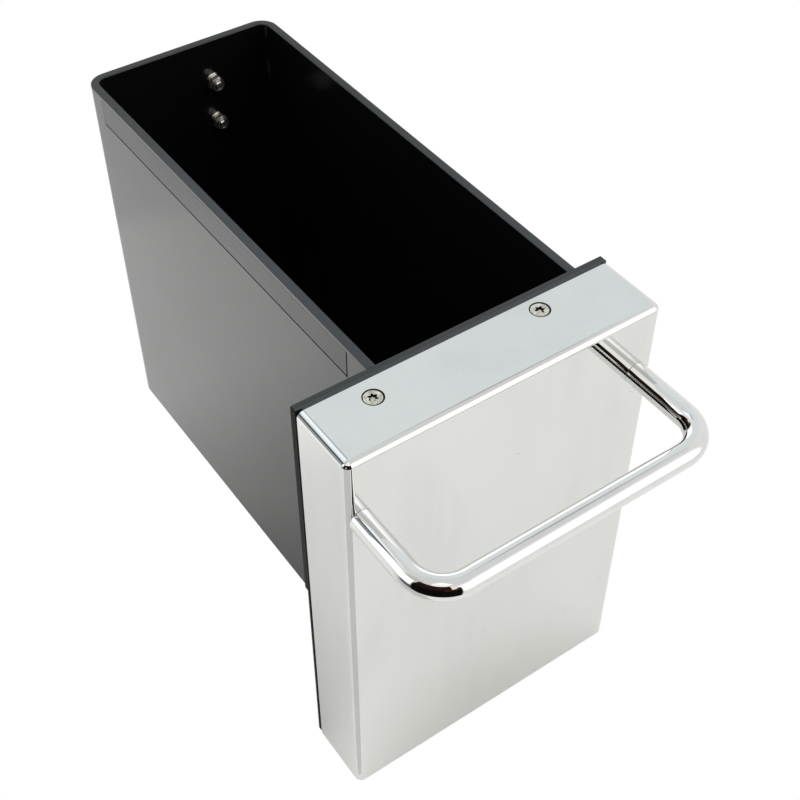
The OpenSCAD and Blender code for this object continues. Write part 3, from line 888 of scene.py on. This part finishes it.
def build_rear_nuts():
    """Self-locking nuts inside the bin, each with a rounded collar round the thread's end."""
    lo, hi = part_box("rear_nuts")
    x, heights = rod_centres("rear_plain_washers")
    total = hi.y - lo.y
    hex_h = 3.4 * MM
    collar_r = 3.7 * MM
    edge = 0.35 * MM
    collar = [(collar_r, hex_h + 0.02 * MM), (collar_r, total - edge)]
    collar += [(collar_r - edge + edge * u, total - edge + edge * v)
               for u, v in arc((0, 0), 1, 15, 90, 5)]
    collar += [(M5_R + 0.35 * MM, total - 0.05 * MM), (M5_R + 0.1 * MM, total - 0.5 * MM)]
    solids = [hex_solid(hex_h, towards(x, hi.y, z, -1, turn), collar)
              for z, turn in zip(heights, (radians(9), radians(24)))]
    nuts = piece("rear_nut_pair", *joined(solids), "fastener_steel", ["rear_nuts"], crease=28)
    # The hexagon's flanks and the faces towards the front take the darker copy: painted shade.
    flank_end = hi.y - hex_h * 0.9
    paint_faces(nuts, DULL_STEEL_PAINTED_SHADE, lambda f: f.normal.y < -0.8 or f.center.y > flank_end)


def build_washers(node, edge):
    """Washers as tight rings: rounded outside, bored inside."""
    lo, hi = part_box(node)
    x, heights = rod_centres(node)
    thick = hi.y - lo.y
    outer = (hi.x - lo.x) / 2
    bore = 2.55 * MM
    solids = []
    around = 72
    low = [(bore, edge), (bore + edge, 0.0), (outer - edge, 0.0),
           (outer - edge * 0.3, edge * 0.3), (outer, edge)]
    section = low + [(r, thick - h) for r, h in reversed(low)]
    for z in heights:
        place = towards(x, lo.y, z, 1)
        verts = [place @ Vector((r * cos(2 * pi * i / around), r * sin(2 * pi * i / around), h))
                 for r, h in section + section[:1] for i in range(around)]
        solids.append((verts, bands(around, len(section) + 1)))
    obj = piece(node + "_pair", *joined(solids), "fastener_steel", [node], crease=50)
    weld = obj.modifiers.new("weld", "WELD")
    weld.merge_threshold = 0.00001
    obj.modifiers.move(1, 0)


# -------------------------------------------------------- remaining CAD nodes

CAD_SLOTS = {row["node"]: row["material_slot"] for row in frame["record"]["subparts"]}


def soften(obj, width):
    """Rounds the edges of a CAD node with modifiers; its mesh stays as it is."""
    weld = obj.modifiers.new("weld", "WELD")
    weld.merge_threshold = 0.000002
    flats = obj.modifiers.new("flats", "DECIMATE")
    flats.decimate_type = "DISSOLVE"
    flats.angle_limit = radians(0.5)
    rounds = obj.modifiers.new("rounds", "BEVEL")
    rounds.width = width
    rounds.segments = 2
    rounds.limit_method = "ANGLE"
    rounds.angle_limit = radians(40)
    shade = obj.modifiers.new("weighted_normals", "WEIGHTED_NORMAL")
    shade.weight = 100
    shade.keep_sharp = False


def finish_cad_nodes():
    """Materials for the CAD nodes that are shown as they are; softened where they show."""
    for name, obj in nodes.items():
        obj.data.materials.clear()
        obj.data.materials.append(MATERIALS[CAD_SLOTS[name]])
    soften(nodes["rear_bracket"], 0.3 * MM)


# -------------------------------------------------------------------- studio
# A room built for the mirror steel to reflect: light by direction, a table, a few cards
# that only reflections see, and a white backdrop that only the camera sees.

TABLE_CENTRE = Vector((0.0, -0.05, 0.0))
TABLE_R = 0.45
BACKDROP_R = 8.0


def stage_object(name, verts, faces, material):
    mesh = bpy.data.meshes.new(name)
    mesh.from_pydata(verts, [], faces)
    mesh.materials.append(material)
    obj = bpy.data.objects.new(name, mesh)
    bpy.context.scene.collection.objects.link(obj)
    return obj


def glow_material(name, colour):
    mat, tree, shader = clear_material(name)
    tree.nodes.remove(shader)
    glow = add(tree, "ShaderNodeEmission")
    glow.inputs["Color"].default_value = (*colour, 1)
    tree.links.new(glow.outputs[0], tree.nodes["Material Output"].inputs[0])
    return mat


def build_backdrop():
    """Plain white floor and sweep round the table. Only the camera sees them."""
    rings, around = 24, 48
    verts, faces = [], []
    for j in range(rings + 1):
        elevation = pi / 2 * j / rings
        for i in range(around):
            a = 2 * pi * i / around
            verts.append((BACKDROP_R * cos(elevation) * cos(a),
                          BACKDROP_R * cos(elevation) * sin(a), BACKDROP_R * sin(elevation)))
    faces = bands(around, rings + 1)
    faces.append(list(range(around)))
    backdrop = stage_object("backdrop", verts, faces, glow_material("backdrop", (1.0, 1.0, 1.0)))
    backdrop.visible_glossy = False
    backdrop.visible_diffuse = False
    backdrop.visible_transmission = False
    backdrop.visible_shadow = False


def faded(tree, value, start, end, amount):
    """0 up to start, rising smoothly to amount at end."""
    fade = add(tree, "ShaderNodeMapRange", interpolation_type="SMOOTHSTEP")
    for name, number in (("From Min", start), ("From Max", end), ("To Max", amount)):
        fade.inputs[name].default_value = number
    tree.links.new(value, fade.inputs["Value"])
    return fade.outputs["Result"]


def build_table():
    """Pale round table that the object reflects and whose light it catches. Its glow is
    painted light: weak round the object's foot as painted shade, stronger farther out and
    towards the rear.
    """
    steps = 96
    verts = [TABLE_CENTRE + Vector((cos(2 * pi * k / steps), sin(2 * pi * k / steps), 0)) * TABLE_R
             for k in range(steps)]
    mat, tree, shader = clear_material("table")
    shader.inputs["Base Color"].default_value = (0.80, 0.80, 0.785, 1)
    shader.inputs["Roughness"].default_value = 0.9
    shader.inputs["Specular IOR Level"].default_value = 0.0
    shader.inputs["Emission Color"].default_value = (1, 1, 0.99, 1)
    coords = mapped(tree)
    away = add(tree, "ShaderNodeVectorMath", operation="DISTANCE")
    away.inputs[1].default_value = TABLE_CENTRE
    tree.links.new(coords, away.inputs[0])
    place = add(tree, "ShaderNodeSeparateXYZ")
    tree.links.new(coords, place.inputs[0])
    # Painted shade round the object's foot and painted light farther out and towards the rear.
    outer = faded(tree, away.outputs["Value"], 0.07, 0.15, 0.20)
    rear = faded(tree, place.outputs["Y"], 0.04, 0.20, 0.36)
    strength = maths(tree, "ADD", maths(tree, "ADD", outer, rear), 0.04)
    tree.links.new(strength, shader.inputs["Emission Strength"])
    table = stage_object("table", verts, [list(range(steps))], mat)
    table.visible_camera = False


def flag(name, verts, faces, colour):
    """Card close to the object that only its reflections see."""
    card = stage_object(name, verts, faces, glow_material(name, colour))
    card.visible_camera = False
    card.visible_shadow = False
    card.visible_diffuse = False


def curved_flag(name, centre, azimuths, rows, steps, colour):
    """Card bent round an upright axis; each row is (distance from the axis, height)."""
    start, end = azimuths
    verts = []
    for away, height in rows:
        for k in range(steps + 1):
            a = radians(start + (end - start) * k / steps)
            verts.append((centre[0] + sin(a) * away, centre[1] + cos(a) * away, height))
    flag(name, verts, bands(steps + 1, len(rows), False), colour)


def build_upright_flag():
    """Grey card on the table and up from it, which the cover's near upright edge reflects
    as a soft band from top to foot."""
    reach = 0.060
    rows = ((0.003, 0.001), (reach, 0.001), (reach, COVER_TOP - reach))
    curved_flag("upright_flag", cover_lo, (-168, -84), rows, 8, (0.68, 0.69, 0.68))


def build_bend_flags():
    """Dark cards round the handle's near bend: the shade of whoever stands there, and one
    that keeps the thin light at the front left off this bend."""
    centre = (tube_lo.x + 2 * TUBE_R, tube_lo.y + 2 * TUBE_R)
    z = (tube_lo.z + tube_hi.z) / 2
    reach = 0.085
    for name, azimuths, low, high, colour in (
            ("bend_flag", (-166, -90), 0.040, 0.125, (0.024, 0.010, 0.008)),
            ("low_flag", (-146, -104), -0.020, 0.030, (0.004, 0.004, 0.004))):
        rows = ((reach, z + low), (reach, z + high))
        curved_flag(name, centre, azimuths, rows, 24, colour)


def build_edge_flags():
    """Cards along the cover's upper left edge: deep blue above, grey below."""
    x = cover_lo.x - 0.042
    y0, y1 = cover_lo.y + 0.020, cover_hi.y + 0.062
    for name, low, high, colour in (("edge_flag_blue", 0.022, 0.048, (0.07, 0.10, 0.13)),
                                    ("edge_flag_grey", -0.006, 0.022, (0.38, 0.40, 0.42))):
        verts = [(x, y0, COVER_TOP + low), (x, y1, COVER_TOP + low),
                 (x, y1, COVER_TOP + high), (x, y0, COVER_TOP + high)]
        flag(name, verts, [(0, 1, 2, 3)], colour)


# The room round the table by compass azimuth (0 rear, 90 right, -90 left) and elevation:
# azimuths, elevations, how softly it ends, and its light. Later rows cover earlier ones.
ROOM = (
    ((-180, 180), (58, 90), 6, (0.83, 0.84, 0.83)),     # ceiling
    ((16, 58), (28, 56), 8, (0.875, 0.935, 0.945)),     # cool wall at the rear right
    ((-50, 0), (-50, -12), 8, (1.12, 1.12, 1.11)),      # lit floor behind the table
    ((-175, -118), (68, 86), 6, (1.35, 1.35, 1.33)),    # lamp above the front left
    ((-90, -60), (44, 64), 6, (0.64, 0.65, 0.62)),      # dimmer wall above the left soft box
    ((-160, -122), (40, 58), 6, (1.45, 1.45, 1.42)),    # lamp lower at the front left
    ((-88, -74), (-22, -9), 16, (0.11, 0.12, 0.14)),    # foot of the left wall
    ((-86, -48), (2, 38), 4, (1.60, 1.63, 1.66)),       # soft box at the rear left
    ((-32, 5), (48, 55), 2, (1.20, 1.28, 1.36)),        # strip light above the rear
    ((8, 24), (51, 55), 2, (0.55, 0.60, 0.68)),         # its dimmer end
    ((134, 172), (8, 34), 18, (2.10, 2.10, 2.08)),      # soft box at the front right
    ((50, 70), (55, 60), 3, (0.54, 0.55, 0.55)),        # dimmer patch beside the ceiling
    ((-178, -92), (-34, 34), 4, (0.006, 0.006, 0.005)), # unlit room at the front left
    ((-131, -119), (-4, 8), 4, (1.25, 1.25, 1.22)),     # light far back in it
    ((-174, -152), (20, 32), 5, (0.060, 0.024, 0.016)), # dark reddish patch in it
    ((-170, -163), (31, 36), 4, (1.20, 1.12, 1.05)),    # small light above that
)


def within(tree, angle, limits, softness):
    """1 between the limits, in degrees and all round the circle, and 0 past the softness."""
    middle, half = (limits[0] + limits[1]) / 2, (limits[1] - limits[0]) / 2
    off = maths(tree, "WRAP", maths(tree, "SUBTRACT", angle, middle), 180.0, -180.0)
    fade = add(tree, "ShaderNodeMapRange", interpolation_type="SMOOTHSTEP")
    for name, value in (("From Min", half), ("From Max", half + softness),
                        ("To Min", 1.0), ("To Max", 0.0)):
        fade.inputs[name].default_value = value
    tree.links.new(maths(tree, "ABSOLUTE", off), fade.inputs["Value"])
    return fade.outputs["Result"]


def build_world():
    world = bpy.data.worlds.new("studio")
    bpy.context.scene.world = world
    world.use_nodes = True
    tree = world.node_tree
    coords = add(tree, "ShaderNodeTexCoord")
    direction = add(tree, "ShaderNodeSeparateXYZ")
    tree.links.new(coords.outputs["Generated"], direction.inputs[0])
    x, y, z = direction.outputs
    azimuth = maths(tree, "MULTIPLY", maths(tree, "ARCTAN2", x, y), 180 / pi)
    elevation = maths(tree, "MULTIPLY", maths(tree, "ARCSINE", z), 180 / pi)
    light = (0.96, 0.965, 0.955)
    for azimuths, elevations, softness, colour in ROOM:
        mask = maths(tree, "MULTIPLY", within(tree, azimuth, azimuths, softness),
                     within(tree, elevation, elevations, softness))
        light = mix(tree, "MIX", mask, light, colour)
    tree.links.new(light, tree.nodes["Background"].inputs["Color"])


def build_studio():
    build_world()
    build_backdrop()
    build_table()
    build_upright_flag()
    build_bend_flags()
    build_edge_flags()


# -------------------------------------------------------------------- camera

def build_camera():
    camera = bpy.data.cameras.new("camera")
    camera.lens = 60.0
    camera.sensor_width = 36.0
    camera.shift_x = 0.0068
    camera.shift_y = -0.0039
    camera.clip_start = 0.01
    camera.clip_end = 50.0
    obj = bpy.data.objects.new("camera", camera)
    bpy.context.scene.collection.objects.link(obj)
    forward = Vector((0.39813, 0.57574, -0.71415)).normalized()
    roll = radians(-0.24)
    obj.location = (-0.2771, -0.4521, 0.6750)
    obj.rotation_mode = "QUATERNION"
    level = forward.to_track_quat("-Z", "Y")
    obj.rotation_quaternion = level @ Quaternion((0, 0, 1), roll)
    bpy.context.scene.camera = obj


# ---------------------------------------------------------------------- make

bpy.context.scene.view_settings.view_transform = "Standard"
finish_cad_nodes()
build_bin_wrap()
build_glide_strip("left_glide_strip")
build_glide_strip("right_glide_strip")
build_front_panel()
build_backing_plate()
build_gasket()
build_cover()
build_handle()
build_cover_screws()
build_rear_bolts()
build_rear_nuts()
build_washers("rear_plain_washers", 0.2 * MM)
build_washers("rear_lock_washers", 0.25 * MM)
build_washers("rear_outer_washers", 0.2 * MM)
build_studio()
build_camera()
